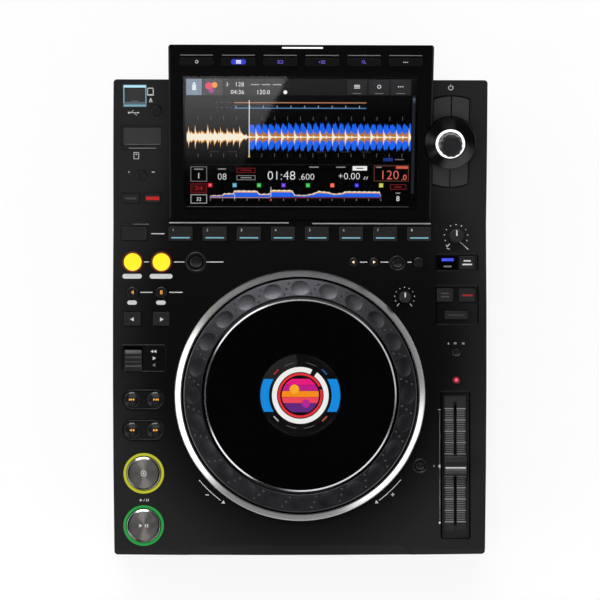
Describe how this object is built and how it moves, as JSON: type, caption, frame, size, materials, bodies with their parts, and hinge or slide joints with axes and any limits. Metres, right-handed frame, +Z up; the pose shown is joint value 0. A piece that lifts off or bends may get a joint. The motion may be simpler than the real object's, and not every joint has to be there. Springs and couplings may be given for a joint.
{
  "type": "tabletop dj player",
  "caption": "Tabletop player for disc jockeys with a large jog dial, a raised touch screen, transport buttons, pads and a tempo fader.",
  "frame": {"origin": "under the middle of the case, at the level the feet stand on", "axes": "+Z up, +Y from the user towards the rear panel, +X to the user's right"},
  "size_m": [0.331, 0.446, 0.118],
  "materials": {
    "board_green": "coated circuit board",
    "bush_plastic": "self-lubricating plastic",
    "button_metal": "spun metal",
    "case_black": "satin black moulded plastic",
    "centre_panel": "lit display panel",
    "chassis_black": "black painted sheet metal",
    "dial_metal": "satin metallic",
    "fader_metal": "plated steel",
    "foot_rubber": "black rubber",
    "frame_metal": "dark cast metal",
    "guide_clear": "translucent",
    "housing_black": "satin black moulded plastic",
    "inlet_black": "black",
    "jack_metal": "plated",
    "key_black": "satin black",
    "key_grey": "satin grey",
    "key_lit_red": "translucent, lit",
    "key_rubber": "soft black",
    "key_yellow": "translucent, lit",
    "plate_gloss": "gloss black",
    "ring_metal": "bright turned metal",
    "screen_glass": "dark clear glass",
    "screen_panel": "lit display panel",
    "shaft_metal": "turned",
    "socket_metal": "plated steel",
    "supply_metal": "plated steel",
    "turret_gloss": "gloss black"
  },
  "bodies": {
    "case": {"top_panel": "case_black", "bottom_chassis": "chassis_black", "display_housing": "housing_black", "display_glass": "screen_glass", "lcd_module": "screen_panel", "jog_trim_ring": "ring_metal", "jog_base": "frame_metal", "jog_bush": "bush_plastic", "jog_center_display": "centre_panel", "selector_turret": "turret_gloss", "light_guides": "guide_clear", "tempo_fader": "fader_metal", "data_sockets": "socket_metal", "rca_jacks": "jack_metal", "ac_inlet": "inlet_black", "rubber_feet": "foot_rubber", "main_board": "board_green", "power_supply": "supply_metal", "switch_boards": "board_green"},
    "jog_dial": {"jog_dial": "dial_metal"},
    "jog_plate": {"jog_plate": "plate_gloss"},
    "tempo_knob": {"tempo_knob": "key_black"},
    "selector_shaft": {"selector_shaft": "shaft_metal"},
    "selector_knob": {"selector_knob": "plate_gloss"},
    "direction_lever": {"direction_lever": "key_grey"},
    "jog_adjust_knob": {"jog_adjust_knob": "key_black"},
    "vinyl_speed_knob": {"vinyl_speed_knob": "key_black"},
    "usb_cover": {"usb_cover": "key_black"},
    "sd_cover": {"sd_cover": "key_black"},
    "slip_key": {"slip_key": "key_rubber"},
    "quantize_key": {"quantize_key": "key_lit_red"},
    "usb_stop_button": {"usb_stop_button": "key_black"},
    "time_mode_button": {"time_mode_button": "key_black"},
    "browse_keys": {"browse_keys": "key_rubber"},
    "call_delete_key": {"call_delete_key": "key_rubber"},
    "loop_in_button": {"loop_in_button": "key_yellow"},
    "loop_out_button": {"loop_out_button": "key_yellow"},
    "reloop_button": {"reloop_button": "key_grey"},
    "beat_loop_buttons": {"beat_loop_buttons": "key_grey"},
    "beat_jump_back_key": {"beat_jump_back_key": "key_rubber"},
    "beat_jump_forward_key": {"beat_jump_forward_key": "key_rubber"},
    "track_back_button": {"track_back_button": "key_black"},
    "track_forward_button": {"track_forward_button": "key_black"},
    "search_back_button": {"search_back_button": "key_black"},
    "search_forward_button": {"search_forward_button": "key_black"},
    "hot_cue_keys": {"hot_cue_keys": "key_rubber"},
    "cue_call_buttons": {"cue_call_buttons": "key_black"},
    "delete_button": {"delete_button": "key_grey"},
    "memory_button": {"memory_button": "key_grey"},
    "tempo_reset_button": {"tempo_reset_button": "key_grey"},
    "jog_mode_key": {"jog_mode_key": "key_rubber"},
    "beat_sync_key": {"beat_sync_key": "key_rubber"},
    "master_key": {"master_key": "key_rubber"},
    "key_sync_key": {"key_sync_key": "key_rubber"},
    "tempo_range_button": {"tempo_range_button": "key_grey"},
    "master_tempo_button": {"master_tempo_button": "key_lit_red"},
    "cue_button": {"cue_button": "button_metal"},
    "play_button": {"play_button": "button_metal"},
    "menu_keys": {"menu_keys": "key_rubber"},
    "power_button": {"power_button": "key_black"}
  },
  "joints": [
    {"name": "jog_dial_spin", "type": "hinge", "parent": "case", "child": "jog_dial", "pos_m": [0, -0.0815, 0.07], "axis": [0, 0, 1], "continuous": true},
    {"name": "jog_plate_press", "type": "slide", "parent": "jog_dial", "child": "jog_plate", "axis": [0, 0, -1], "range_m": [0, 0.0004], "stiffness_N_per_m": 2500, "springref_m": -0.0003},
    {"name": "tempo_slide", "type": "slide", "parent": "case", "child": "tempo_knob", "axis": [0, 1, 0], "range_m": [-0.05, 0.05]},
    {"name": "selector_shaft_press", "type": "slide", "parent": "case", "child": "selector_shaft", "axis": [0, 0.2588, -0.9659], "range_m": [0, 0.0006], "stiffness_N_per_m": 1200, "springref_m": -0.0003},
    {"name": "selector_turn", "type": "hinge", "parent": "selector_shaft", "child": "selector_knob", "pos_m": [0.1315, 0.14128, 0.0851], "axis": [0, -0.2588, 0.9659], "continuous": true},
    {"name": "direction_lever_tilt", "type": "hinge", "parent": "case", "child": "direction_lever", "pos_m": [-0.1473, -0.0508, 0.044], "axis": [-1, 0, 0], "range_deg": [0, 9]},
    {"name": "jog_adjust_turn", "type": "hinge", "parent": "case", "child": "jog_adjust_knob", "pos_m": [0.0927, 0.0053, 0.066], "axis": [0, 0, 1], "range_deg": [-140, 140]},
    {"name": "vinyl_speed_turn", "type": "hinge", "parent": "case", "child": "vinyl_speed_knob", "pos_m": [0.1385, 0.0596, 0.066], "axis": [0, 0, 1], "range_deg": [-140, 140]},
    {"name": "usb_cover_hinge", "type": "hinge", "parent": "case", "child": "usb_cover", "pos_m": [-0.1452, 0.18649, 0.09607], "axis": [-1, 0, 0], "range_deg": [0, 90]},
    {"name": "sd_cover_hinge", "type": "hinge", "parent": "case", "child": "sd_cover", "pos_m": [-0.1391, 0.15293, 0.08625], "axis": [-1, 0, 0], "range_deg": [0, 90]},
    {"name": "slip_key_press", "type": "slide", "parent": "case", "child": "slip_key", "axis": [0, 0.2588, -0.9659], "range_m": [0, 0.0005], "stiffness_N_per_m": 900, "springref_m": -0.0003},
    {"name": "quantize_key_press", "type": "slide", "parent": "case", "child": "quantize_key", "axis": [0, 0.2588, -0.9659], "range_m": [0, 0.0005], "stiffness_N_per_m": 900, "springref_m": -0.0003},
    {"name": "usb_stop_button_press", "type": "slide", "parent": "case", "child": "usb_stop_button", "axis": [0, 0.2588, -0.9659], "range_m": [0, 0.0005], "stiffness_N_per_m": 900, "springref_m": -0.0003},
    {"name": "time_mode_button_press", "type": "slide", "parent": "case", "child": "time_mode_button", "axis": [0, 0.2588, -0.9659], "range_m": [0, 0.0005], "stiffness_N_per_m": 900, "springref_m": -0.0003},
    {"name": "browse_keys_press", "type": "slide", "parent": "case", "child": "browse_keys", "axis": [0, 0.2588, -0.9659], "range_m": [0, 0.0005], "stiffness_N_per_m": 900, "springref_m": -0.0003},
    {"name": "call_delete_key_press", "type": "slide", "parent": "case", "child": "call_delete_key", "axis": [0, 0, -1], "range_m": [0, 0.0005], "stiffness_N_per_m": 900, "springref_m": -0.0003},
    {"name": "loop_in_button_press", "type": "slide", "parent": "case", "child": "loop_in_button", "axis": [0, 0, -1], "range_m": [0, 0.0005], "stiffness_N_per_m": 900, "springref_m": -0.0003},
    {"name": "loop_out_button_press", "type": "slide", "parent": "case", "child": "loop_out_button", "axis": [0, 0, -1], "range_m": [0, 0.0005], "stiffness_N_per_m": 900, "springref_m": -0.0003},
    {"name": "reloop_button_press", "type": "slide", "parent": "case", "child": "reloop_button", "axis": [0, 0, -1], "range_m": [0, 0.0005], "stiffness_N_per_m": 900, "springref_m": -0.0003},
    {"name": "beat_loop_buttons_press", "type": "slide", "parent": "case", "child": "beat_loop_buttons", "axis": [0, 0, -1], "range_m": [0, 0.0005], "stiffness_N_per_m": 900, "springref_m": -0.0003},
    {"name": "beat_jump_back_key_press", "type": "slide", "parent": "case", "child": "beat_jump_back_key", "axis": [0, 0, -1], "range_m": [0, 0.0005], "stiffness_N_per_m": 900, "springref_m": -0.0003},
    {"name": "beat_jump_forward_key_press", "type": "slide", "parent": "case", "child": "beat_jump_forward_key", "axis": [0, 0, -1], "range_m": [0, 0.0005], "stiffness_N_per_m": 900, "springref_m": -0.0003},
    {"name": "track_back_button_press", "type": "slide", "parent": "case", "child": "track_back_button", "axis": [0, 0, -1], "range_m": [0, 0.0005], "stiffness_N_per_m": 900, "springref_m": -0.0003},
    {"name": "track_forward_button_press", "type": "slide", "parent": "case", "child": "track_forward_button", "axis": [0, 0, -1], "range_m": [0, 0.0005], "stiffness_N_per_m": 900, "springref_m": -0.0003},
    {"name": "search_back_button_press", "type": "slide", "parent": "case", "child": "search_back_button", "axis": [0, 0, -1], "range_m": [0, 0.0005], "stiffness_N_per_m": 900, "springref_m": -0.0003},
    {"name": "search_forward_button_press", "type": "slide", "parent": "case", "child": "search_forward_button", "axis": [0, 0, -1], "range_m": [0, 0.0005], "stiffness_N_per_m": 900, "springref_m": -0.0003},
    {"name": "hot_cue_keys_press", "type": "slide", "parent": "case", "child": "hot_cue_keys", "axis": [0, 0, -1], "range_m": [0, 0.0005], "stiffness_N_per_m": 900, "springref_m": -0.0003},
    {"name": "cue_call_buttons_press", "type": "slide", "parent": "case", "child": "cue_call_buttons", "axis": [0, 0, -1], "range_m": [0, 0.0005], "stiffness_N_per_m": 900, "springref_m": -0.0003},
    {"name": "delete_button_press", "type": "slide", "parent": "case", "child": "delete_button", "axis": [0, 0, -1], "range_m": [0, 0.0005], "stiffness_N_per_m": 900, "springref_m": -0.0003},
    {"name": "memory_button_press", "type": "slide", "parent": "case", "child": "memory_button", "axis": [0, 0, -1], "range_m": [0, 0.0005], "stiffness_N_per_m": 900, "springref_m": -0.0003},
    {"name": "tempo_reset_button_press", "type": "slide", "parent": "case", "child": "tempo_reset_button", "axis": [0, 0, -1], "range_m": [0, 0.0005], "stiffness_N_per_m": 900, "springref_m": -0.0003},
    {"name": "jog_mode_key_press", "type": "slide", "parent": "case", "child": "jog_mode_key", "axis": [0, 0, -1], "range_m": [0, 0.0005], "stiffness_N_per_m": 900, "springref_m": -0.0003},
    {"name": "beat_sync_key_press", "type": "slide", "parent": "case", "child": "beat_sync_key", "axis": [0, 0, -1], "range_m": [0, 0.0005], "stiffness_N_per_m": 900, "springref_m": -0.0003},
    {"name": "master_key_press", "type": "slide", "parent": "case", "child": "master_key", "axis": [0, 0, -1], "range_m": [0, 0.0005], "stiffness_N_per_m": 900, "springref_m": -0.0003},
    {"name": "key_sync_key_press", "type": "slide", "parent": "case", "child": "key_sync_key", "axis": [0, 0, -1], "range_m": [0, 0.0005], "stiffness_N_per_m": 900, "springref_m": -0.0003},
    {"name": "tempo_range_button_press", "type": "slide", "parent": "case", "child": "tempo_range_button", "axis": [0, 0, -1], "range_m": [0, 0.0005], "stiffness_N_per_m": 900, "springref_m": -0.0003},
    {"name": "master_tempo_button_press", "type": "slide", "parent": "case", "child": "master_tempo_button", "axis": [0, 0, -1], "range_m": [0, 0.0005], "stiffness_N_per_m": 900, "springref_m": -0.0003},
    {"name": "cue_button_press", "type": "slide", "parent": "case", "child": "cue_button", "axis": [0, 0, -1], "range_m": [0, 0.0008], "stiffness_N_per_m": 900, "springref_m": -0.0003},
    {"name": "play_button_press", "type": "slide", "parent": "case", "child": "play_button", "axis": [0, 0, -1], "range_m": [0, 0.0008], "stiffness_N_per_m": 900, "springref_m": -0.0003},
    {"name": "menu_keys_press", "type": "slide", "parent": "case", "child": "menu_keys", "axis": [0, 0.3223, -0.9466], "range_m": [0, 0.0005], "stiffness_N_per_m": 900, "springref_m": -0.0003},
    {"name": "power_button_press", "type": "slide", "parent": "case", "child": "power_button", "axis": [0, -1, 0], "range_m": [0, 0.0015], "stiffness_N_per_m": 600, "springref_m": -0.0003}
  ]
}
